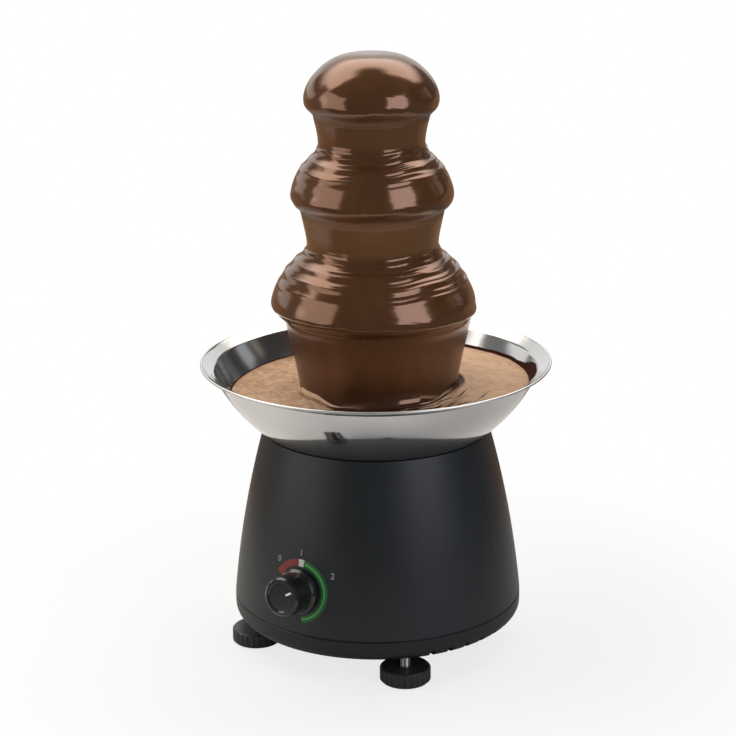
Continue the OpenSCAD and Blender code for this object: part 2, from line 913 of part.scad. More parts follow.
module lower_tier() {
    color([0.8, 0.8, 0.82])
    tier(lower_d, lower_z, lower_h);
}

module upper_tier() {
    color([0.8, 0.8, 0.82])
    tier(upper_d, upper_z, upper_h);
}

module crown() {
    color([0.8, 0.8, 0.82])
    union() {
        tier(crown_d, crown_z, crown_h);
        ring(collar_r, tube_bore_r, tube_top, crown_z + crown_h - sheet / 2);
    }
}

// Screw flight: a rectangular section led up a helix
auger_z0 = floor_in_z + 5;
auger_z1 = tube_top - 1;
auger_r = tube_bore_r - 2 * slip;
step_deg = 15;
turns = (auger_z1 - auger_z0 - flight_t - 6) / pitch;
steps = floor(turns * 360 / step_deg);

module flight() {
    points = [for (i = [0:steps])
        let (a = i * step_deg, z = auger_z0 + 3 + pitch * a / 360)
        for (c = [[core_d / 2 - 0.6, 0], [auger_r, 0], [auger_r, flight_t], [core_d / 2 - 0.6, flight_t]])
        [c[0] * cos(a), c[0] * sin(a), z + c[1]]];
    sides = [for (i = [0:steps - 1]) for (k = [0:3])
        let (p = 4 * i + k, q = 4 * i + (k + 1) % 4)
        each [[p, q, p + 4], [q, q + 4, p + 4]]];
    ends = [[0, 2, 1], [0, 3, 2], [4 * steps, 4 * steps + 1, 4 * steps + 2],
        [4 * steps, 4 * steps + 2, 4 * steps + 3]];
    polyhedron(points = points, faces = concat(sides, ends), convexity = 20);
}

module auger() {
    color([0.93, 0.92, 0.88])
    difference() {
        union() {
            rod(core_d / 2, auger_z0, auger_z1);
            flight();
        }
        translate([0, 0, auger_z0 - 1])
        cylinder(h = 13.2, r = (dog_flat + shaft_d - 8 + slip) / 2 / cos(30), $fn = 6);
    }
}

// Chocolate over one tier: it rolls round the edge and falls as a curtain
chocolate = [0.27, 0.15, 0.09];
roll_turn = 70;
function roll(d, z, drop, tuck) =
    [for (i = [0:6]) let (s = roll_turn * i / 6) [d / 2 + coat - tuck * (1 - cos(s)), z - drop * sin(s)]];
function fall(r0, z0, r1, z1) =
    [for (i = [0:8]) let (t = i / 8) [r1 + (r0 - r1) * pow(1 - t, 1.6), z0 + (z1 - z0) * t]];
function last(p) = p[len(p) - 1];

// Inside of the coat, from the tube along the tier and round its edge to the curtain
function under_coat(d, z, h) =
    concat([[tube_r + slip, z + h + slip]], inset(tail(skirt(d, z, h)), slip), [[d / 2 + slip, z - tier_lip - slip]]);

function coat_outline(d, z, h, top, drop, tuck, end_r, end_z) =
    let (edge = roll(d, z, drop, tuck),
        start = last(edge),
        curtain = fall(start[0], start[1], end_r, end_z))
    concat(top, edge, tail(curtain), back([for (p = curtain) [p[0] - curtain_t, p[1]]]),
        [[start[0] - curtain_t, z - tier_lip - slip]], back(under_coat(d, z, h)));

lower_land = lower_z + lower_h + 3.5;
upper_land = upper_z + upper_h + 4;

module chocolate_crown() {
    color(chocolate)
    slice(concat(
        [[0, crown_z + crown_h + slip], [0, top_z]],
        coat_outline(crown_d, crown_z, crown_h,
            tail(dome(0, crown_d / 2 + coat, crown_z, top_z - crown_z, 0, 18, 0.5)),
            8.5, 8, upper_d * 0.343, upper_land)));
}

module chocolate_upper() {
    color(chocolate)
    slice(coat_outline(upper_d, upper_z, upper_h,
        concat([[tube_r + slip, upper_land], [upper_d * 0.363, upper_land]],
            dome(collar_r, upper_d / 2 + coat - collar_r, upper_z, upper_h + coat, 38, 8)),
        9.5, 8, lower_d * 0.33, lower_land));
}

module chocolate_lower() {
    color(chocolate)
    slice(coat_outline(lower_d, lower_z, lower_h,
        concat([[tube_r + slip, lower_land], [lower_d * 0.352, lower_land]],
            dome(collar_r, lower_d / 2 + coat - collar_r, lower_z, lower_h + coat, 34, 8)),
        9, 6.5, lower_d * 0.403, pool_z));
}

module chocolate_pool() {
    color([0.5, 0.33, 0.22])
    rotate_extrude()
    intersection() {
        polygon(concat([[tube_r + slip, floor_in_z + slip]],
            tail(inset(bowl_path, bowl_t + slip)), [[tube_r + slip, rim_z]]));
        translate([tube_r + slip, floor_in_z])
        square([bowl_r, pool_z - floor_in_z]);
    }
}

housing();
base_tray();
tray_screws();
foot_inserts();
left_stud();
left_pad();
right_stud();
right_pad();
rear_stud();
rear_pad();
cord_gland();
gland_nut();
knob();
knob_pointer();
switch_shaft();
switch_body();
switch_nut();
motor_can();
pole_ring();
motor_coil();
rotor();
pinion();
gear_plate();
gearbox_case();
idler_gear();
idler_pin();
output_gear();
output_shaft();
output_bush();
motor_bracket();
bracket_screws();
standoffs();
standoff_screws();
case_screws();
heater_plate();
heating_element();
thermostat();
thermal_fuse();
terminal_block();
bowl();
bowl_hub();
hub_nut();
shaft_seal();
tower_locator();
drive_dog();
tower_tube();
lower_tier();
upper_tier();
crown();
auger();
chocolate_crown();
chocolate_upper();
chocolate_lower();
chocolate_pool();
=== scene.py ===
import json
import math

import bpy
import numpy as np
from mathutils import Matrix, Quaternion, Vector


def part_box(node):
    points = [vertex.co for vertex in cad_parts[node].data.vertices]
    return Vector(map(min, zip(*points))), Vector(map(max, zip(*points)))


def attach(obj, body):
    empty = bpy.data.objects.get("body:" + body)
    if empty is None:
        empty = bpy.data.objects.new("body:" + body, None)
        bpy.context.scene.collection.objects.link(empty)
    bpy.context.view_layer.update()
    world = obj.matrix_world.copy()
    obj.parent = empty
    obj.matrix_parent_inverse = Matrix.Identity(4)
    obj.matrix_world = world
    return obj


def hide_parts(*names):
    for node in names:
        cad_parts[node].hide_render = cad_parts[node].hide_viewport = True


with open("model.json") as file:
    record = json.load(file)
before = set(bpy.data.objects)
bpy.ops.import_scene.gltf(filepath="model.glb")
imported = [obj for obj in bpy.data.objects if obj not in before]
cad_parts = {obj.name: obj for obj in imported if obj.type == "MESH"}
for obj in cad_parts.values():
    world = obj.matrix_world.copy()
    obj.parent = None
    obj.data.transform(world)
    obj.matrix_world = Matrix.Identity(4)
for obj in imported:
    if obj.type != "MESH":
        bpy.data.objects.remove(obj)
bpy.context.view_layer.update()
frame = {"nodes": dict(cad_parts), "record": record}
nodes = frame["nodes"]
scene = bpy.context.scene
scene.view_settings.view_transform = "Standard"
MM = 0.001

# Sizes of the object that the pieces below share, in millimetres
RIM_R, RIM_Z, SHEET, HEM = 105.0, 175.0, 1.0, 0.7
LIP_W, LIP_RISE = 7.5, 4.5
FLOOR_R, FLOOR_Z, BEND = 52.0, 124.0, 9.0
WALL_FOOT, WALL_LEAN = 66.0, math.radians(36)
# The flow drives the pool up a little on the viewer's right: its level, its slope, and the radius of its edge
POOL_Z, POOL_SLOPE, POOL_EDGE = 158.5, 0.04, 89.5
# The lowest curtain hangs off the axis to the viewer's right, and the flow above it to the left
CURTAIN_RIGHT, TOWER_LEFT = 1.6, 1.2
# Where the foam meets the foot of the lowest curtain, before that shift
CREST_R = 47.4
KNOB_Z = 55.0

# The viewer stands this far round to the right of the knob's side
VIEW = math.radians(33)
TO_RIGHT = (math.cos(VIEW), math.sin(VIEW), 0.0)
TO_VIEWER = (math.sin(VIEW), -math.cos(VIEW), 0.0)
FROM_VIEWER = (-math.sin(VIEW), math.cos(VIEW), 0.0)
UP = (0.0, 0.0, 1.0)


# ---- finishes: shader maths as Python expressions

class Flow:
    """An output socket of a finish. Arithmetic on it adds Math nodes."""

    def __init__(self, finish, made, output=0):
        self.finish, self.made = finish, made
        self.socket = made.outputs[output] if made.outputs else None

    def other(self, output):
        return Flow(self.finish, self.made, output)

    def __add__(self, b):
        return self.finish.math("ADD", self, b)

    def __radd__(self, a):
        return self.finish.math("ADD", a, self)

    def __sub__(self, b):
        return self.finish.math("SUBTRACT", self, b)

    def __rsub__(self, a):
        return self.finish.math("SUBTRACT", a, self)

    def __mul__(self, b):
        return self.finish.math("MULTIPLY", self, b)

    def __rmul__(self, a):
        return self.finish.math("MULTIPLY", a, self)

    def __truediv__(self, b):
        return self.finish.math("DIVIDE", self, b)

    def clamp(self):
        return self.finish.node("ShaderNodeClamp", {}, {"Value": self})


class Finish:
    """A node tree under construction. node() adds any node: its settings first, then its sockets."""

    def __init__(self, tree):
        self.tree = tree
        tree.nodes.clear()

    def node(self, kind, settings, sockets, output=0):
        made = self.tree.nodes.new(kind)
        for name, value in settings.items():
            setattr(made, name, value)
        for name, value in sockets.items():
            if isinstance(value, Flow):
                self.tree.links.new(value.socket, made.inputs[name])
            else:
                made.inputs[name].default_value = value
        return Flow(self, made, output)

    def math(self, operation, a, b):
        return self.node("ShaderNodeMath", {"operation": operation}, {0: a, 1: b})

    def vector(self, operation, a, b=(0.0, 0.0, 0.0), output="Vector"):
        return self.node("ShaderNodeVectorMath", {"operation": operation}, {0: a, 1: b}, output)

    def along(self, vector, way):
        """How far a vector goes along a way of length 1."""
        return self.vector("DOT_PRODUCT", vector, way, "Value")

    def from_axis(self, vector):
        """How far a vector goes out from the object's axis."""
        return self.vector("LENGTH", self.vector("MULTIPLY", vector, (1.0, 1.0, 0.0)), output="Value")

    def place(self):
        return self.node("ShaderNodeTexCoord", {}, {}, "Object")

    def stretch(self, vector, scale):
        return self.node("ShaderNodeMapping", {}, {"Vector": vector, "Scale": scale})

    def place_mm(self):
        return self.stretch(self.place(), (1 / MM,) * 3)

    def noise(self, vector, scale, detail=3.0, rough=0.55, distortion=0.0):
        return self.node("ShaderNodeTexNoise", {}, {"Vector": vector, "Scale": scale, "Detail": detail,
                                                    "Roughness": rough, "Distortion": distortion})

    def blend(self, share, a, b):
        a, b = (c if isinstance(c, Flow) else (*c, 1.0) for c in (a, b))
        return self.node("ShaderNodeMix", {"data_type": "RGBA"}, {0: share, 6: a, 7: b}, 2)

    def mix_shaders(self, share, a, b):
        return self.node("ShaderNodeMixShader", {}, {0: share, 1: a, 2: b})

    def between(self, value, low, high):
        """0 below low, 1 above high, and a soft rise between them."""
        return self.node("ShaderNodeMapRange", {"interpolation_type": "SMOOTHSTEP"},
                         {"Value": value, "From Min": low, "From Max": high})

    def band(self, value, rise, fall):
        """A band of 1 with soft edges: it rises between the first two values and falls between the others."""
        return self.between(value, *rise) * (1 - self.between(value, *fall))

    def bump(self, height, depth, strength=1.0):
        return self.node("ShaderNodeBump", {}, {"Height": height, "Distance": depth, "Strength": strength})


def material(name, **sockets):
    """A material with one Principled shader. Its recipe fills the sockets that change over the surface."""
    made = bpy.data.materials.new(name)
    made.use_nodes = True
    finish = Finish(made.node_tree)
    shader = finish.node("ShaderNodeBsdfPrincipled", {}, {})
    finish.node("ShaderNodeOutputMaterial", {}, {"Surface": shader})

    def fill(**values):
        for key, value in values.items():
            socket = shader.made.inputs[key.replace("_", " ").title().replace("Ior", "IOR")]
            if isinstance(value, Flow):
                finish.tree.links.new(value.socket, socket)
            else:
                socket.default_value = value

    fill(**sockets)
    return made, finish, fill


def shade(colour, factor):
    return tuple(c * factor for c in colour)


def moulded_plastic(name, colour, roughness, grain=1500.0, depth=0.00004, level=0.5):
    """Moulded plastic: a fine spark-eroded grain, with slow changes of tone and gloss."""
    made, f, fill = material(name, specular_ior_level=level)
    at = f.place()
    cloud = f.noise(at, 22.0, 4.0)
    speck = f.noise(at, grain, 2.0)
    light = tuple(min(1.0, c * 1.25 + 0.002) for c in colour)
    fill(base_color=f.blend(cloud * 0.6 + speck * 0.4, shade(colour, 0.85), light),
         roughness=roughness - 0.06 + cloud * 0.08 + speck * 0.04,
         normal=f.bump(speck, depth, 0.5))
    return made


def bare_metal(name, colour, roughness, along=(1.0, 1.0, 1.0), scale=900.0, depth=0.00001):
    """Machined or drawn metal with fine tool lines across one direction."""
    made, f, fill = material(name, metallic=1.0)
    at = f.place()
    lines = f.noise(f.stretch(at, along), scale, 2.0)
    cloud = f.noise(at, 45.0, 3.0)
    fill(base_color=f.blend(cloud, shade(colour, 0.88), colour),
         roughness=roughness - 0.05 + lines * 0.1 + cloud * 0.04,
         normal=f.bump(lines, depth, 0.4))
    return made


def spun_steel(name, colour, roughness):
    """Polished sheet, spun on a lathe: hair-fine rings round the axis and faint smears.

    The hem and the underside of the bowl's lip are duller, and so is the inside a little.
    """
    made, f, fill = material(name, metallic=1.0)
    at = f.place_mm()
    away = f.from_axis(at)
    rings = f.noise(f.node("ShaderNodeCombineXYZ", {}, {"X": away, "Y": f.along(at, UP)}), 1.4, 2.0)
    smear = f.noise(f.place(), 30.0, 4.0, 0.6, 0.8)
    inside = f.between(f.along(f.node("ShaderNodeTexCoord", {}, {}, "Normal"), UP), 0.05, 0.3)
    lip = f.between(away, RIM_R - LIP_W, RIM_R - LIP_W + 1.2)
    hem = f.between(away, RIM_R - 1.6, RIM_R - 0.9)
    wear = rings * 0.035 + smear * 0.025 + inside * 0.06
    fill(base_color=f.blend(smear, shade(colour, 0.94), colour),
         roughness=roughness - 0.02 + wear + lip * (0.25 - inside * 0.3) + hem * 0.25,
         normal=f.bump(rings, 0.000004, 0.25))
    return made


def melted_chocolate(name, deep, dark, light, thin, roughness, streak, tint):
    """Warm chocolate: wet gloss, with milk streaks drawn out along the flow."""
    made, f, fill = material(name, specular_ior_level=0.95, ior=1.6, specular_tint=tint)
    at = f.place()
    drawn = f.noise(f.stretch(at, streak), 60.0, 5.0, 0.6, 1.2)
    cloud = f.noise(at, 18.0, 3.0)
    share = f.between(drawn * 0.6 + cloud * 0.4, 0.3, 0.7)
    # The masks below are in millimetres
    at = f.place_mm()
    up, ahead, aside = f.along(at, UP), f.along(at, TO_VIEWER), f.along(at, TO_RIGHT)
    # The lowest curtain is dull, with painted shade on both sides and at its foot; only the foot in front is wet
    shaded_sides = (1 - f.between(up, 165, 205)) * (0.95 - f.between(ahead, 22, 48) * 0.9)
    low = shaded_sides + (1 - f.between(up, 160, 176)) * 0.7
    dull = 1 - f.between(up, 200, 212)
    wet = (1 - f.between(up, 164.5, 166.5)) * f.band(aside, (-14, 2), (26, 34)) * f.between(ahead, 0, 10)
    # The hollows under the two upper lips are dull too
    under_lips = f.band(up, (318.5, 320.5), (325.5, 328)) + f.band(up, (261.5, 263.5), (269.5, 272))
    # The two upper curtains are thin and let some light through
    sheer = f.band(up, (243, 249), (262, 269)) + f.band(up, (304, 310), (317, 324)) * 0.6
    body = f.blend(sheer, f.blend(share, dark, light), thin)
    # Painted shade: the lowest curtain blends towards the dark shade colour at its sides and foot
    fill(base_color=f.blend(low.clamp(), body, deep),
         roughness=roughness - 0.04 + drawn * 0.08 + (dull - wet).clamp() * 0.17 + under_lips * 0.3,
         normal=f.bump(drawn, 0.00012, 0.35))
    return made


def pool_chocolate(name, film, dark, tan, pale):
    """The pool: fresh dark chocolate before the foot, drawn out along the slow swirl, and paler foam round it."""
    made, f, fill = material(name, specular_ior_level=0.012, specular_tint=(1.0, 0.85, 0.72, 1.0))
    at = f.place_mm()
    away, aside, ahead = f.from_axis(at), f.along(at, TO_RIGHT), f.along(at, TO_VIEWER)
    swing = f.math("ARCTAN2", aside, ahead) * math.degrees(1)
    past_crest = away - CREST_R - aside / away * CURTAIN_RIGHT
    # Strokes: noise drawn out round the axis, on a spiral
    spun = f.node("ShaderNodeVectorRotate", {"rotation_type": "Z_AXIS"}, {"Vector": at, "Angle": away * 0.045})
    way = f.node("ShaderNodeSeparateXYZ", {}, {"Vector": f.vector("NORMALIZE", spun)})
    spiral = f.node("ShaderNodeCombineXYZ", {}, {"X": way, "Y": way.other("Y"), "Z": away * 0.125})
    streak = f.noise(spiral, 2.6, 5.0, 0.62, 1.0)
    wander = streak - 0.5
    # Fresh chocolate: it fills the front, and breaks up into strokes on the right
    reach = 35 * f.between(swing + wander * 51.6, -37.8, -20.6) - 2
    fills = 1 - f.between(away - 48 + wander * 6, reach - 1, reach + 1.2)
    breaks = 1 - f.between(swing + wander * 286.5, 24.1, 37.8)
    fresh = fills * breaks * f.between(swing, -43, -28.6)
    # The foot's dark flare on the far right
    flare = f.band(swing, (48.7, 65.9), (100.3, 111.7)) * (1 - f.between(past_crest + wander * 10, 3, 5.5))
    # The dark film where the pool wets the steel; the edge of the tilted pool is further out on the right
    edge = f.between(away - aside * 0.0256, POOL_EDGE - 0.6, POOL_EDGE)
    # The foam is smoother on the right
    foam = f.noise(f.place(), 250.0, 4.0, 0.62, 0.8)
    cloud = f.noise(f.place(), 60.0, 4.0, 0.6, 1.8)
    right = f.between(aside, -20, 60)
    mottle = f.between(cloud * 0.5 + foam * 0.5, 0.39, 0.61) * (0.66 - right * 0.36) + 0.05 + right * 0.42
    # On the left, a painted highlight along the foot's rolled ridge, and painted shadow in the groove outside it
    left = f.band(swing, (-77.3, -65.9), (-28.6, -20.6))
    ridge_highlight = left * f.band(past_crest, (-1.2, -0.4), (0.8, 1.3))
    groove_shadow = left * f.band(past_crest, (1.0, 1.6), (2.2, 3.6)) * 0.5
    swirled = f.blend((fresh + flare).clamp(), f.blend(mottle, tan, pale), dark)
    # The ridge's pale highlight and the groove's dark shadow are painted into the colour here
    ridge_lit_and_shaded = f.blend(ridge_highlight, f.blend(groove_shadow, swirled, dark), pale)
    fill(base_color=f.blend(edge, ridge_lit_and_shaded, film),
         roughness=0.44 - fresh * 0.2 + foam * 0.06,
         normal=f.bump(streak * fresh * 0.6 + cloud * 0.4 + foam * 0.4, 0.0008, 0.45))
    return made


def printed_ink(name, colour):
    """Screen-printed ink: even colour with a slight mottle in tone and gloss."""
    made, f, fill = material(name, specular_ior_level=0.4)
    mottle = f.noise(f.place(), 900.0, 3.0)
    fill(base_color=f.blend(mottle, shade(colour, 0.86), colour),
         roughness=0.42 + mottle * 0.12,
         normal=f.bump(mottle, 0.00002, 0.3))
    return made


FINISHES = {
    "housing_plastic": moulded_plastic("housing satin plastic", (0.0098, 0.0124, 0.0144), 0.43, level=0.33),
    "tray_plastic": moulded_plastic("tray satin plastic", (0.0075, 0.009, 0.0102), 0.46, level=0.3),
    "screw_steel": bare_metal("zinc plated screws", (0.6, 0.6, 0.58), 0.34),
    "insert_brass": bare_metal("turned brass", (0.72, 0.52, 0.24), 0.32, (1.0, 1.0, 6.0)),
    "stud_steel": bare_metal("zinc plated thread", (0.62, 0.62, 0.6), 0.3, (1.0, 1.0, 4.0)),
    "foot_plastic": moulded_plastic("foot black plastic", (0.012, 0.012, 0.013), 0.42, 1100.0),
    "gland_rubber": moulded_plastic("gland rubber", (0.012, 0.012, 0.012), 0.62, 800.0, 0.00006),
    "gland_plastic": moulded_plastic("gland nut plastic", (0.03, 0.03, 0.032), 0.5),
    "knob_plastic": moulded_plastic("knob gloss plastic", (0.008, 0.008, 0.009), 0.2, 700.0, 0.00001, 0.6),
    "pointer_white": printed_ink("pointer white", (0.82, 0.82, 0.8)),
    "shaft_steel": bare_metal("ground steel", (0.6, 0.6, 0.61), 0.25, (1.0, 1.0, 5.0)),
    "switch_plastic": moulded_plastic("switch body plastic", (0.05, 0.05, 0.055), 0.5),
    "can_steel": bare_metal("pressed steel", (0.55, 0.56, 0.57), 0.36),
    "coil_copper": bare_metal("enamelled copper wire", (0.62, 0.27, 0.13), 0.3, (0.2, 0.2, 8.0), 500.0, 0.00006),
    "rotor_magnet": bare_metal("sintered magnet", (0.16, 0.16, 0.17), 0.55),
    "gear_brass": bare_metal("hobbed brass", (0.74, 0.55, 0.26), 0.3),
    "gear_plastic": moulded_plastic("gear nylon", (0.78, 0.77, 0.7), 0.45),
    "case_alloy": bare_metal("die cast alloy", (0.5, 0.51, 0.52), 0.5, scale=500.0, depth=0.00004),
    "bracket_steel": bare_metal("rolled steel", (0.56, 0.57, 0.58), 0.34, (6.0, 0.4, 1.0)),
    "heater_alloy": bare_metal("rolled alloy", (0.7, 0.71, 0.72), 0.34, (6.0, 0.4, 1.0)),
    "element_steel": bare_metal("heat-stained sheath", (0.36, 0.33, 0.29), 0.42),
    "ceramic": moulded_plastic("glazed ceramic", (0.74, 0.71, 0.62), 0.3, 400.0),
    "block_plastic": moulded_plastic("terminal block plastic", (0.76, 0.76, 0.7), 0.5),
    "bowl_steel": spun_steel("bowl polished steel", (0.625, 0.62, 0.61), 0.075),
    "hub_steel": bare_metal("turned steel", (0.6, 0.6, 0.61), 0.28, (1.0, 1.0, 5.0)),
    "seal_rubber": moulded_plastic("seal silicone", (0.32, 0.06, 0.04), 0.5, 600.0),
    "tower_steel": spun_steel("tower polished steel", (0.62, 0.615, 0.605), 0.16),
    "auger_plastic": moulded_plastic("auger food-grade plastic", (0.76, 0.75, 0.69), 0.4, 900.0),
    # The first colour of the chocolate is painted shade for the lowest curtain's sides and foot
    "chocolate": melted_chocolate(
        "flowing chocolate", deep=(0.024, 0.012, 0.006), dark=(0.07, 0.0285, 0.0102), light=(0.094, 0.039, 0.0146),
        thin=(0.14, 0.066, 0.023), roughness=0.14, streak=(1.0, 1.0, 0.18), tint=(1.0, 0.6, 0.44, 1.0)),
    "chocolate_foam": pool_chocolate(
        "pool chocolate", film=(0.05, 0.016, 0.01), dark=(0.05, 0.023, 0.011), tan=(0.4, 0.245, 0.155),
        pale=(0.66, 0.455, 0.31)),
}
slot_of = {part["node"]: part["material_slot"] for part in frame["record"]["subparts"]}
for name, solid in nodes.items():
    solid.data.materials.clear()
    solid.data.materials.append(FINISHES[slot_of[name]])


# ---- paths and meshes. All lengths are in millimetres up to the finished points

def curve_through(points, count):
    """Even points on a smooth curve through the given ones (centripetal Catmull-Rom)."""
    p = np.array(points, float)
    p = np.vstack([2 * p[0] - p[1], p, 2 * p[-1] - p[-2]])
    fine = []
    for a, b, c, d in zip(p, p[1:], p[2:], p[3:]):
        t0 = 0.0
        t1 = t0 + math.sqrt(np.linalg.norm(b - a))
        t2 = t1 + math.sqrt(np.linalg.norm(c - b))
        t3 = t2 + math.sqrt(np.linalg.norm(d - c))
        t = np.linspace(t1, t2, 24, endpoint=False)[:, None]
        ab = (t1 - t) / (t1 - t0) * a + (t - t0) / (t1 - t0) * b
        bc = (t2 - t) / (t2 - t1) * b + (t - t1) / (t2 - t1) * c
        cd = (t3 - t) / (t3 - t2) * c + (t - t2) / (t3 - t2) * d
        abc = (t2 - t) / (t2 - t0) * ab + (t - t0) / (t2 - t0) * bc
        bcd = (t3 - t) / (t3 - t1) * bc + (t - t1) / (t3 - t1) * cd
        fine.append((t2 - t) / (t2 - t1) * abc + (t - t1) / (t2 - t1) * bcd)
    path = np.vstack(fine + [p[-2:-1]])
    run = run_along(path)
    place = np.linspace(0, run[-1], count)
    return np.stack([np.interp(place, run, path[:, k]) for k in (0, 1)], 1)


def run_along(path):
    """Length of a path up to each of its points."""
    return np.concatenate([[0], np.cumsum(np.linalg.norm(np.diff(path, axis=0), axis=1))])


def left_normals(path):
    """Unit vectors to the left of a path, one for each of its points."""
    step = np.gradient(path, axis=0)
    step /= np.linalg.norm(step, axis=1)[:, None]
    return np.stack([-step[:, 1], step[:, 0]], 1)


def angles(count):
    return np.linspace(0, 2 * math.pi, count, endpoint=False)


def swing_of(angle):
    """Degrees round the axis from the viewer's side, positive to the viewer's right."""
    return np.degrees((angle - VIEW + math.pi / 2 + math.pi) % (2 * math.pi) - math.pi)


def waves(rng, angle, orders, slope=1.0):
    """A wandering line round the axis, made of a few orders with seeded phases, of height about 1."""
    total = np.zeros_like(angle)
    for order in orders:
        total += np.cos(order * angle + rng.uniform(0, 2 * math.pi)) / order ** slope
    return total / max(1e-9, np.abs(total).max())


def soft_step(x, low, high):
    t = np.clip((x - low) / (high - low), 0, 1)
    return t * t * (3 - 2 * t)


def bell(x, middle, width):
    return np.exp(-((x - middle) / width) ** 2)


def rings_of(path, count):
    """A path of radius and height, the same all round."""
    return np.repeat(path[:, :1], count, 1), np.repeat(path[:, 1:], count, 1)


def piece(name, vertices, faces, finish, body, smooth=True):
    """A new piece that rides on a body. The finish is a material, or the name of one in FINISHES."""
    mesh = bpy.data.meshes.new(name)
    mesh.from_pydata(vertices, [], faces)
    mesh.validate()
    mesh.polygons.foreach_set("use_smooth", [smooth] * len(mesh.polygons))
    mesh.materials.append(FINISHES.get(finish) or finish)
    made = bpy.data.objects.new(name, mesh)
    scene.collection.objects.link(made)
    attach(made, body)
    return made


def ring_mesh(radius, height, closed):
    """Points and faces of rings: radius and height are arrays of path point by angle. A closed path meets itself."""
    rows, count = radius.shape
    angle = angles(count)
    points = np.stack([radius * np.cos(angle), radius * np.sin(angle), height], -1).reshape(-1, 3) * MM
    around = np.arange(count)
    following = (around + 1) % count
    faces = []
    for row in range(rows if closed else rows - 1):
        low, high = row * count, (row + 1) % rows * count
        faces.append(np.stack([low + around, high + around, high + following, low + following], 1))
    return points.tolist(), np.concatenate(faces).tolist()


def turned(name, radius, height, finish, body):
    """A piece of rings on a closed path."""
    return piece(name, *ring_mesh(radius, height, True), finish, body)


def capped_turned(name, radius, height, ends, finish, body):
    """A piece of rings on an open path, whose first and last ring close on points of the axis at two heights."""
    rows, count = radius.shape
    points, faces = ring_mesh(radius, height, False)
    first, last = len(points), len(points) + 1
    points += [(0.0, 0.0, end * MM) for end in ends]
    last_ring = (rows - 1) * count
    for a in range(count):
        b = (a + 1) % count
        faces += [(first, a, b), (last, last_ring + b, last_ring + a)]
    return piece(name, points, faces, finish, body)


# ---- camera

def set_camera():
    """The photograph's viewpoint, in metres and radians, fitted to the ellipses of the bowl's edge and the seam."""
    distance, height = 1.18, 0.524
    turn, pitch, roll = VIEW + math.radians(0.227), 0.29214, math.radians(-0.56)
    data = bpy.data.cameras.new("camera")
    data.sensor_width = 36.0
    data.lens = 100.46
    data.clip_end = 20.0
    made = bpy.data.objects.new("camera", data)
    scene.collection.objects.link(made)
    made.location = (distance * TO_VIEWER[0], distance * TO_VIEWER[1], height)
    ahead = Vector((-math.sin(turn) * math.cos(pitch), math.cos(turn) * math.cos(pitch), -math.sin(pitch)))
    made.rotation_mode = "QUATERNION"
    made.rotation_quaternion = ahead.to_track_quat("-Z", "Y") @ Quaternion((0, 0, 1), roll)
    scene.camera = made


set_camera()


# ---- bowl

# Radii of the flat floor's rings, from the hole for the hub outwards
FLOOR_RINGS = (12.1, 30.0, 51.0)
# Distances up the lip: the first two are close to the crease, to keep it crisp
LIP_STEPS = (0.35, 0.8, 3.0, 5.0)
# Half of the hem's rolled turn, in radians
HEM_TURN = 2.3


def bowl_outside():
    """The outside of the bowl up to the crease of its lip: floor, bend and bellied wall."""
    turns = np.linspace(0, WALL_LEAN, 12)
    bend = np.stack([FLOOR_R + BEND * np.sin(turns), FLOOR_Z + BEND * (1 - np.cos(turns))], 1)
    foot = np.array([WALL_FOOT, bend[-1, 1] + (WALL_FOOT - bend[-1, 0]) * math.tan(WALL_LEAN)])
    chord = np.array([RIM_R - LIP_W, RIM_Z - LIP_RISE]) - foot
    half = math.atan2(chord[1], chord[0]) - WALL_LEAN
    arc_r = np.linalg.norm(chord) / (2 * math.sin(half))
    lean = WALL_LEAN + 2 * half * np.linspace(0, 1, 56)
    belly = foot + arc_r * np.stack([np.sin(lean) - math.sin(WALL_LEAN), math.cos(WALL_LEAN) - np.cos(lean)], 1)
    return np.vstack([[(ring, FLOOR_Z) for ring in FLOOR_RINGS], bend, belly])


def make_bowl():
    outside = bowl_outside()
    inside = outside + SHEET * left_normals(outside)
    inside[:len(FLOOR_RINGS), 1] = FLOOR_Z + SHEET
    lip = np.array([LIP_W - HEM, LIP_RISE - HEM])
    lip /= np.linalg.norm(lip)
    across = np.array([-lip[1], lip[0]])
    crease, hem = outside[-1], np.array([RIM_R - HEM, RIM_Z - HEM])
    flare_out = [crease + lip * step for step in LIP_STEPS]
    flare_in = [crease + across * SHEET + lip * step for step in reversed(LIP_STEPS)]
    lean = math.atan2(lip[1], lip[0])
    roll = [hem + HEM * np.array([math.cos(a), math.sin(a)])
            for a in np.linspace(lean - HEM_TURN, lean + HEM_TURN, 20)]
    path = np.vstack([outside, flare_out, roll, flare_in, inside[::-1]])
    made = turned("bowl_spun", *rings_of(path, 288), "bowl_steel", "base")
    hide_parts("bowl")


make_bowl()


# ---- chocolate over the tower

# Radius and height of the flow, from the crown's top to the foot of the lowest curtain
TOWER_LINE = [
    (2.0, 357.98), (9.0, 357.8), (15.0, 357.0), (20.2, 355.4), (25.2, 352.8), (29.6, 349.4), (33.4, 345.5),
    (36.4, 341.4), (38.5, 337.0), (39.4, 332.6), (39.1, 329.2), (37.7, 326.4), (35.7, 324.4), (34.3, 322.6),
    (33.5, 319.6), (32.4, 315.0), (31.6, 310.4), (31.3, 306.6), (31.7, 303.9), (32.9, 301.6), (34.8, 299.2),
    (37.5, 296.6), (40.3, 293.7), (42.7, 290.6), (44.7, 287.0), (46.3, 283.0), (47.5, 279.2), (47.9, 275.6),
    (47.3, 272.6), (45.8, 270.2), (43.9, 268.5), (42.6, 266.7), (41.7, 263.0), (40.5, 257.4), (39.4, 251.8),
    (38.9, 247.4), (39.3, 244.3), (41.0, 241.4), (43.9, 238.6), (47.6, 235.3), (51.2, 231.4), (54.2, 227.2),
    (56.6, 223.1), (58.6, 219.0), (60.1, 214.8), (60.7, 211.0), (60.3, 208.0), (59.0, 205.7), (57.2, 204.0),
    (56.0, 202.2), (54.9, 197.6), (52.7, 188.4), (50.5, 178.4), (48.8, 169.6), (48.5, 168.0),
]
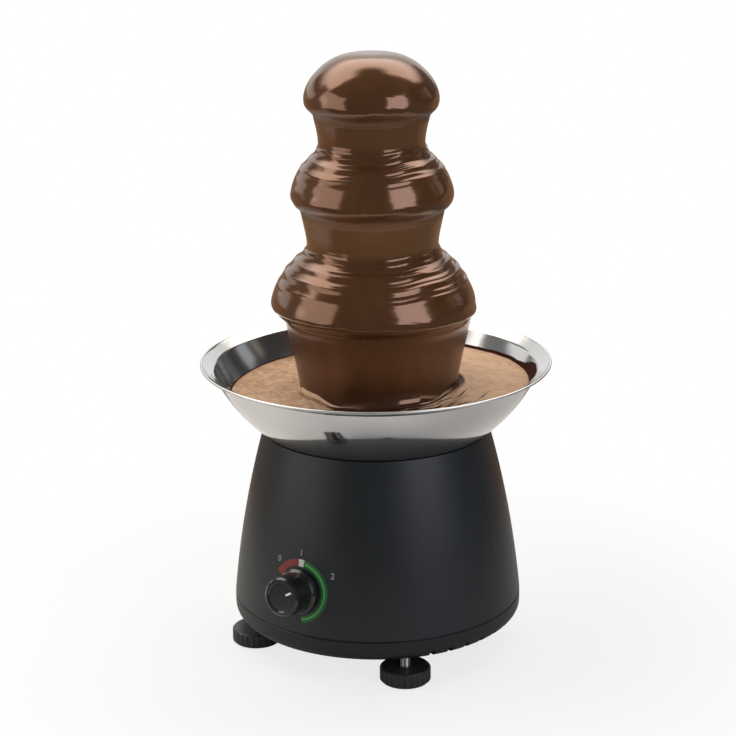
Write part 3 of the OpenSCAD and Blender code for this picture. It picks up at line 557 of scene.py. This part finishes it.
# Folds where a curtain lands on a tier: from and to which height, how deep, and how far apart
FOLDS = ((285.0, 306.5, 0.75, 7.6), (219.0, 247.0, 0.9, 8.4))
# Heights of the three skirts, of the lips under them, and of the curtains that fall from those
SKIRTS = (331.0, 275.5, 210.5)
LIPS = (325.0, 269.0, 204.5)
CURTAINS = ((304.0, 323.0), (245.0, 267.0), (150.0, 203.0))
LOWEST_SKIRT = (203.0, 211.0)
# The lowest curtain leans in by this much of its drop
FOOT_LEAN = 0.17
# How far its foot spreads over the pool, by degrees from the viewer's side
FOOT_SPREAD = [(-180, 0.5), (-60, 0.5), (-30, 0.9), (-12, 3.0), (4, 6.0), (30, 6.3), (42, 3.4), (55, 1.3),
               (88, 1.3), (108, 1.2), (130, 0.8), (180, 0.5)]
# Inside of the flow: in to the tube at the pool's depth, and up under the crown
TUBE_LINE = np.array([(46.0, 152.0), (40.0, 151.5), (25.0, 151.5), (23.0, 152.5), (22.8, 180.0), (22.8, 240.0),
                      (22.8, 300.0), (22.8, 346.5), (21.0, 348.5), (10.0, 348.8), (2.0, 348.8)])
TOWER_TOP, UNDER_CROWN = 358.0, 348.8


def make_tower_chocolate():
    """One skin of chocolate from the crown to the pool: landing folds, wandering edges and thin curtain streaks."""
    rng = np.random.default_rng(7)
    count, rows = 320, 460
    line = curve_through(TOWER_LINE, rows)
    out = -left_normals(line)
    z = line[:, 1:]
    run = run_along(line)[:, None]
    angle = angles(count)[None, :]
    push = np.zeros((rows, count))

    # Rolled folds: broad on the left, with finer ones between them on the right
    right = soft_step(np.cos(angle - VIEW + 0.5), -0.2, 0.7)
    for low, high, size, pitch in FOLDS:
        start = np.interp(-high, -line[:, 1], run[:, 0])
        span = soft_step(z, low, low + 9.0) * (1 - soft_step(z, high - 2.0, high))
        drift = 0.22 * waves(rng, angle, (1, 2, 3)) + 0.06 * waves(rng, angle, (5, 7, 9), 0.6)
        gather = 0.72 + 0.28 * waves(rng, angle, (2, 3, 5, 7), 0.5)
        fold = (run - start) / pitch + drift
        push += size * span * gather * (np.abs(np.cos(math.pi * fold)) ** 0.9 - 0.6)
        thin = np.sin(2 * math.pi * (fold * 2.2 + 0.35 * waves(rng, angle, (2, 3, 5, 8), 0.6)))
        push += size * span * (0.06 + 0.2 * right) * (0.6 + 0.4 * waves(rng, angle, (4, 6, 9), 0.3)) * thin
    # Uneven skirts, with a torn surface on the right
    torn = 0.35 + 0.65 * soft_step(np.cos(angle - VIEW + 0.9), 0.0, 0.8)
    for edge in SKIRTS:
        span = bell(z, edge, 9.0)
        push += 0.22 * span * waves(rng, angle + 0.05 * run, (3, 5, 8, 11, 14), 0.4)
        tears = waves(rng, angle - 0.12 * run, (17, 23, 29, 34), 0.2)
        push += 0.07 * span * torn * tears * np.sin(run * 1.7 + 3 * waves(rng, angle, (3, 5, 8)))
    # Thin vertical streaks on the falling curtains
    for low, high in CURTAINS:
        span = soft_step(z, low, low + 3) * (1 - soft_step(z, high - 3, high))
        push += 0.13 * span * waves(rng, angle, (4, 7, 11, 15, 19, 26), 0.3)
    radius = line[:, :1] + push * out[:, :1]
    height = z + push * out[:, 1:]
    # Lips that wander up and down
    for edge in LIPS:
        height = height + 0.55 * bell(z, edge, 4.5) * waves(rng, angle, (2, 3, 5, 7, 9), 0.6)
    # Off the axis to the left, and to the right below the lowest skirt
    aside = np.cos(angle - VIEW)
    radius = radius + (CURTAIN_RIGHT - (CURTAIN_RIGHT + TOWER_LEFT) * soft_step(z, *LOWEST_SKIRT)) * aside
    # Foot: the curtain spreads over the pool in a hollow curve, broad in front, with a small roll there
    swing = swing_of(angle)
    spread = np.interp(swing, *zip(*FOOT_SPREAD)) + 0.15 * waves(rng, angle, (5, 8, 13, 17), 0.4)
    level = POOL_Z + POOL_SLOPE * radius[-1:] * aside
    turn = np.linspace(0, math.pi / 2, 70)[1:, None]
    out_by = spread * (1 - np.cos(turn))
    drop = (height[-1:] - level) * np.sin(turn)
    roll = 0.4 * bell(swing, 4, 7) * bell(out_by, 0.75 * spread, 0.6)
    foot_r = radius[-1:] - FOOT_LEAN * drop + out_by
    tube_r, tube_z = rings_of(TUBE_LINE, count)
    radius = np.vstack([radius, foot_r, foot_r[-1:] + 0.5, foot_r[-1:] + 0.9, tube_r])
    height = np.vstack([height, height[-1:] - drop + roll, level - 0.5, level - 1.6, tube_z])
    made = capped_turned("chocolate_flow", radius, height, (TOWER_TOP, UNDER_CROWN), "chocolate", "base")
    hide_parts("chocolate_crown", "chocolate_upper", "chocolate_lower")


make_tower_chocolate()


# ---- pool

# How high the film climbs the steel, by degrees from the viewer's side
FILM_CLIMB = [(-180, 0.9), (-150, 0.5), (-60, 0.4), (60, 0.4), (72, 1.6), (80, 5.0), (90, 7.6), (97, 6.6),
              (103, 3.0), (110, 1.7), (150, 1.4), (180, 0.9)]
# Gap between the pool and the steel, thickness of the film, and gap between the pool and the bowl's floor
POOL_GAP, FILM, FLOOR_GAP = 0.12, 0.2, 0.2
# Radii of the pool's first ring, of the foot's edge, and up to where its rings are close
POOL_START, FOOT_EDGE, CLOSE_RINGS = 40.0, 45.0, 51.0
# Swirls: how many, their lengths, and their height for each millimetre of length
SWIRLS, SWIRL_LENGTHS, SWIRL_HEIGHT = 26, (7.0, 26.0), 0.0045
# Heaps of foam on the left and on the right: where by degrees, how wide, how high, and how far out they reach
HEAP_LEFT, HEAP_RIGHT = (-60, 25, 5.0, 3.6), (68, 21, 3.4, 5.0)
POOL_FLOOR = np.array([(50.0, FLOOR_Z + SHEET + FLOOR_GAP), (24.0, FLOOR_Z + SHEET + FLOOR_GAP),
                       (23.0, 140.0), (23.0, 155.0)])


def make_pool():
    """The pool: a tilted level with ripples and lazy swirls, foam heaped at the foot, and a film on the steel."""
    rng = np.random.default_rng(21)
    count = 420
    wall = bowl_outside()
    wall = (wall + (SHEET + POOL_GAP) * left_normals(wall))[len(FLOOR_RINGS):]
    angle = angles(count)[None, :]
    aside, swing = np.cos(angle - VIEW), swing_of(angle)

    def wall_r(z):
        return np.interp(z, wall[:, 1], wall[:, 0])

    # Each pass brings the edge of the tilted level nearer to the wall
    edge_r = np.full((1, count), POOL_EDGE)
    for _ in range(4):
        edge_r = wall_r(POOL_Z + POOL_SLOPE * edge_r * aside)
    near = np.concatenate([np.linspace(POOL_START, FOOT_EDGE, 6), np.linspace(FOOT_EDGE, CLOSE_RINGS, 41)[1:]])
    far = CLOSE_RINGS + (edge_r - FILM - CLOSE_RINGS) * np.linspace(0, 1, 80)[1:, None]
    r = np.vstack([np.repeat(near[:, None], count, 1), far])
    x, y = r * np.cos(angle), r * np.sin(angle)
    # Ripples round the foot, and swirls of many lengths
    away = r - 48.0 - CURTAIN_RIGHT * aside
    drift = 1.6 * waves(rng, angle, (1, 2, 3, 5)) + 0.5 * waves(rng, angle, (7, 9, 13), 0.5)
    relief = 0.2 * np.exp(-np.abs(away - 2.0) / 6.0) * np.sin(2 * math.pi * away / 4.6 + drift)
    for _ in range(SWIRLS):
        length = rng.uniform(*SWIRL_LENGTHS)
        way = rng.uniform(0, 2 * math.pi)
        bent = 2.2 * np.sin((x * math.cos(way + 1.3) + y * math.sin(way + 1.3)) / 13.0 + rng.uniform(0, 6.3))
        along = x * math.cos(way) + y * math.sin(way) + bent
        relief = relief + SWIRL_HEIGHT * length * np.sin(2 * math.pi * along / length + rng.uniform(0, 6.3))
    relief = relief * (1 - 0.7 * soft_step(r, edge_r - 5.0, edge_r)) * soft_step(r, POOL_START, FOOT_EDGE)
    height = POOL_Z + POOL_SLOPE * r * aside + relief + 0.3 * np.exp(-(edge_r - r) / 1.2)
    # Foam heaped against the foot on both sides, with a thin rolled ridge along the top on the left
    past_crest = r - (CREST_R + CURTAIN_RIGHT * aside + 0.2 * waves(rng, angle, (3, 5, 8)))
    rolled = 1.2 * bell(past_crest, 0.3, 0.55) - 0.9 * bell(past_crest, 1.9, 0.7)
    middle, width, rise, reach = HEAP_LEFT
    height = height + bell(swing, middle, width) * (rise * np.exp(-np.maximum(past_crest, 0) / reach) + rolled)
    middle, width, rise, reach = HEAP_RIGHT
    height = height + bell(swing, middle, width) * rise * np.exp(-np.maximum(past_crest - 1.0, 0) / reach)
    # The film that the pool leaves on the steel, highest on the right: up over its face, and down along the wall
    climb = np.interp(swing, *zip(*FILM_CLIMB)) * (1 + 0.14 * waves(rng, angle, (2, 5, 9, 14, 21, 33), 0.5))
    share = np.linspace(0, 1, 7)[:, None]
    film_z = height[-1:] + climb * np.vstack([share, share[-2::-1]])
    film_r = wall_r(film_z) - FILM * np.vstack([1 - share, np.zeros((len(share) - 1, 1))])
    # Under the level: down the wall, and along the bowl's floor to the tube
    brink = height[-1:] - 0.9
    under_z = brink - (brink - wall[1, 1]) * np.linspace(0, 1, 14)[:, None]
    floor_r, floor_z = rings_of(POOL_FLOOR, count)
    radius = np.vstack([r, film_r, wall_r(under_z), floor_r])
    height = np.vstack([height, film_z, under_z, floor_z])
    made = turned("chocolate_pool_swirled", radius, height, "chocolate_foam", "base")
    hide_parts("chocolate_pool")


make_pool()


# ---- feet

THREAD_R, THREAD_DEPTH = 2.97, 0.52
# Radius of the stud's tip, and how fast its cone widens
TIP_R, TIP_SLOPE = 2.2, 1.2


def make_studs():
    """Rolled thread on each foot's stud, one turn to the millimetre, with a cone at its tip."""
    count, rows = 40, 230
    angle = angles(count)[None, :]
    for side in ("left", "right", "rear"):
        low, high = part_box(side + "_stud")
        x, y = (low.x + high.x) / 2, (low.y + high.y) / 2
        bottom, top = low.z / MM, high.z / MM
        z = np.linspace(top, bottom, rows)[:, None]
        phase = (z - angle / (2 * math.pi)) % 1.0
        radius = THREAD_R - THREAD_DEPTH * np.clip(np.abs(phase - 0.5) * 2.4 - 0.1, 0, 1)
        radius = np.minimum(radius, TIP_R + (top - z) * TIP_SLOPE)
        made = capped_turned(side + "_stud_thread", radius, np.repeat(z, count, 1), (top, bottom),
                             "stud_steel", side + "_stud")
        made.data.transform(Matrix.Translation((x, y, 0)))
        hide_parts(side + "_stud")


make_studs()


# ---- dial: printed arcs and plain numbers on the housing round the knob

# Radius and height of the housing's side at the seam and at its mouth, and how far it bows out between them
SEAM, MOUTH, BOW = np.array([87.6, 29.3]), np.array([68.2, 133.193]), 2.3
# How far a print goes into the housing, and how far a number's middle stands off it and how thick half of it is
INK_SINK, NUMBER_LIFT, NUMBER_HALF = 0.05, 0.035, 0.085


def housing_arc():
    """Radius and centre of the arc of the housing's side."""
    chord = MOUTH - SEAM
    half = 2 * math.atan(2 * BOW / np.linalg.norm(chord))
    start = math.atan2(chord[1], chord[0]) - half
    arc_r = np.linalg.norm(chord) / (2 * math.sin(half))
    return arc_r, SEAM + arc_r * np.array([-math.sin(start), math.cos(start)])


ARC_R, ARC_C = housing_arc()
TILT = math.asin((KNOB_Z - ARC_C[1]) / ARC_R)


def on_housing(across, up, lift):
    """Point of the housing's side, given its place on the dial in millimetres, moved out by lift."""
    z = KNOB_Z + up * math.cos(TILT)
    r = ARC_C[0] + math.sqrt(ARC_R ** 2 - (z - ARC_C[1]) ** 2) + lift
    return (across * MM, -math.sqrt(r * r - across * across) * MM, z * MM)


def thin_print(name, columns, finish, lift):
    """A closed film over a grid of dial places."""
    tall, wide = len(columns[0]), len(columns)
    top = [on_housing(a, b, lift) for column in columns for a, b in column]
    low = [on_housing(a, b, -INK_SINK) for column in columns for a, b in column]
    n = len(top)
    faces = []
    for i in range(wide - 1):
        for j in range(tall - 1):
            a, b, c, d = i * tall + j, (i + 1) * tall + j, (i + 1) * tall + j + 1, i * tall + j + 1
            faces += [(a, b, c, d), (n + d, n + c, n + b, n + a)]
    border = [i * tall for i in range(wide)] + [(wide - 1) * tall + j for j in range(1, tall)]
    border += [i * tall + tall - 1 for i in range(wide - 2, -1, -1)] + [j for j in range(tall - 2, 0, -1)]
    faces += [(n + a, n + b, b, a) for a, b in zip(border, border[1:] + border[:1])]
    piece(name, top + low, faces, finish, "base", smooth=False)


def arc_print(name, start, end, finish, inner=14.8, outer=19.0, lift=0.12):
    """A printed arc between two turns, in degrees from the dial's right."""
    turns = np.radians(np.linspace(start, end, max(3, int(abs(end - start) / 2))))
    columns = [[(r * math.cos(t), r * math.sin(t)) for r in np.linspace(outer, inner, 4)] for t in turns]
    thin_print(name, columns, finish, lift)


def number_print(name, text, turn, reach, finish, size=5.0):
    """A plain number, laid upright on the housing at a turn and a reach from the knob's middle."""
    curve = bpy.data.curves.new(name + "_shape", "FONT")
    curve.body, curve.size, curve.align_x, curve.align_y = text, size, "CENTER", "CENTER"
    curve.extrude = NUMBER_HALF
    curve.resolution_u = 6
    shape = bpy.data.objects.new(name + "_shape", curve)
    scene.collection.objects.link(shape)
    mesh = bpy.data.meshes.new_from_object(shape.evaluated_get(bpy.context.evaluated_depsgraph_get()))
    bpy.data.objects.remove(shape)
    a, b = reach * math.cos(math.radians(turn)), reach * math.sin(math.radians(turn))
    points = [on_housing(v.co.x + a, v.co.y + b, v.co.z + NUMBER_LIFT) for v in mesh.vertices]
    faces = [tuple(p.vertices) for p in mesh.polygons]
    bpy.data.meshes.remove(mesh)
    piece(name, points, faces, finish, "base", smooth=False)


RED = printed_ink("dial red ink", (0.2, 0.018, 0.015))
GREEN = printed_ink("dial green ink", (0.012, 0.1, 0.018))
LIGHT_GREEN = printed_ink("dial light green ink", (0.07, 0.33, 0.08))
WHITE = printed_ink("dial white ink", (0.6, 0.6, 0.58))
GREY = printed_ink("dial number ink", (0.34, 0.34, 0.33))
arc_print("dial_arc_red", 152, 96, RED)
arc_print("dial_arc_green", 81, -80, GREEN)
arc_print("dial_arc_light", 80, -79, LIGHT_GREEN, 16.2, 17.4, 0.17)
arc_print("dial_spot_white", 94.5, 82.5, WHITE)
number_print("dial_number_0", "0", 135, 22.6, GREY)
number_print("dial_number_1", "1", 90, 22.8, GREY)
number_print("dial_number_2", "2", 30, 24.2, GREY)


# ---- stage and light, in metres

FLOOR_SHEET_R, FLOOR_SHEET_Z, FLOOR_SIDES = 0.36, -0.0004, 96
# Light levels round the object: the dim room, the panel above the backdrop, the post before it on the left,
# the warm skirting below it, and far off on the right a dark corner with a pale wall and a warm one
ROOM, PANEL, POST, SKIRTING, CORNER, PALE_WALL, WARM_WALL = 0.12, 3.7, 0.22, 0.34, 0.05, 0.46, 0.28
# How far off the soft boxes stand, and how far below their own height they aim
SOFT_BOX_AWAY, SOFT_BOX_DIP = 1.0, 0.06


def seen_rays(f):
    """Rays that look at the stage: the camera's own, and those that gloss or glass sends on."""
    path = f.node("ShaderNodeLightPath", {}, {}, "Is Camera Ray")
    return path, (path.other("Is Glossy Ray") + path.other("Is Transmission Ray")).clamp()


def make_floor():
    """Pale paper under the object, painted shade on the right. It whitens with distance and keeps the feet's shadow.
    """
    mesh = bpy.data.meshes.new("floor")
    ring = [(FLOOR_SHEET_R * math.cos(a), FLOOR_SHEET_R * math.sin(a), FLOOR_SHEET_Z) for a in angles(FLOOR_SIDES)]
    mesh.from_pydata(ring, [], [tuple(range(FLOOR_SIDES))])
    floor = bpy.data.objects.new("floor", mesh)
    scene.collection.objects.link(floor)
    made = bpy.data.materials.new("floor paper")
    made.use_nodes = True
    f = Finish(made.node_tree)
    at = f.place()
    fibre = f.noise(at, 300.0, 3.0)
    far = f.between(f.from_axis(at), 0.1, 0.34)
    # Painted shade: the paper is greyer on the right, which dims the bowl's reflection of it
    right = f.between(f.along(at, TO_RIGHT), 0.02, 0.2)
    tone = f.blend(fibre, (0.66, 0.66, 0.66), (0.7, 0.7, 0.7))
    paper = f.node("ShaderNodeBsdfDiffuse", {}, {"Color": f.blend(right * 0.8, tone, (0.4, 0.4, 0.4))})
    glow = f.node("ShaderNodeEmission", {}, {"Color": (1, 1, 1, 1), "Strength": 1.0})
    camera, gloss = seen_rays(f)
    share = camera * (0.78 + 0.22 * far) + gloss * (0.15 * far)
    f.node("ShaderNodeOutputMaterial", {}, {"Surface": f.mix_shaders(share, paper, glow)})
    mesh.materials.append(made)


def make_world():
    """White to the camera. The object sees a pale backdrop behind it, a panel above that, and a dim room in front."""
    world = bpy.data.worlds.new("studio")
    scene.world = world
    world.use_nodes = True
    f = Finish(world.node_tree)
    way = f.node("ShaderNodeTexCoord", {}, {}, "Generated")
    behind, aside, up = (f.along(way, axis) for axis in (FROM_VIEWER, TO_RIGHT, UP))
    turn = f.math("ARCTAN2", aside, behind)

    def window(left, right, low, high, edge=0.05):
        """Share of a window between two turns from straight behind, in degrees, and two heights from -1 to 1."""
        left, right = math.radians(left), math.radians(right)
        return (f.band(turn, (left - edge, left + edge), (right - edge, right + edge))
                * f.band(up, (low - edge, low + edge), (high - edge, high + edge)))

    def level(strength, colour=(1.0, 1.0, 1.0)):
        return f.node("ShaderNodeBackground", {}, {"Color": (*colour, 1.0), "Strength": strength})

    # The panel ends sooner on the right the lower it gets, and fades downwards into the backdrop
    post = window(-85, -66, -0.2, 0.58, 0.03)
    slant = f.between(behind * (6.0 * up - 1.5) - aside, -0.08, 0.08)
    panel = window(-93, 120, 0.37, 0.95, 0.04) * slant * (1 - post) * f.between(up, 0.39, 0.7)
    # The backdrop is lower on the left. Under it come the skirting, then the pale floor
    wall = (window(-97, -33, 0.02, 0.28) + window(-33, 24, 0.02, 0.62)) * (1 - post) * (1 - panel)
    backdrop = wall + window(-97, 24, -2.0, -0.42, 0.08) * 0.55
    room = level(ROOM)
    for share, light in (
            (window(-97, 60, -0.42, 0.02, 0.06), level(SKIRTING, (1.0, 0.64, 0.4))),
            (post, level(POST)),
            (window(45, 102, -0.05, 0.6), level(CORNER)),
            (window(57.5, 69, 0.1, 0.4, 0.035), level(PALE_WALL, (0.96, 0.98, 1.04))),
            (window(73.5, 79.5, 0.1, 0.45, 0.03), level(WARM_WALL, (1.0, 0.88, 0.78))),
            (panel, level(PANEL, (1.0, 0.94, 0.86)))):
        room = f.mix_shaders(share, room, light)
    camera, gloss = seen_rays(f)
    seen = f.mix_shaders((camera + gloss * backdrop).clamp(), room, level(1.0))
    f.node("ShaderNodeOutputWorld", {}, {"Surface": seen})


def soft_box(name, turn, low, high, width, power, colour):
    """An upright soft box at an angle round from the camera, to the right if positive, aimed a little down."""
    data = bpy.data.lights.new(name, "AREA")
    data.shape, data.size, data.size_y, data.energy, data.color = "RECTANGLE", width, high - low, power, colour
    made = bpy.data.objects.new(name, data)
    scene.collection.objects.link(made)
    angle = VIEW - math.pi / 2 + math.radians(turn)
    middle = (low + high) / 2
    made.location = (SOFT_BOX_AWAY * math.cos(angle), SOFT_BOX_AWAY * math.sin(angle), middle)
    aim = Vector((0, 0, middle - SOFT_BOX_DIP)) - made.location
    made.rotation_mode = "QUATERNION"
    made.rotation_quaternion = aim.to_track_quat("-Z", "Y")


make_floor()
make_world()
soft_box("soft_box_left", -69, 0.03, 0.9, 0.9, 4.5, (1.0, 0.96, 0.92))
soft_box("soft_box_right", 45, 0.12, 1.05, 0.68, 5.7, (0.97, 1.0, 1.12))
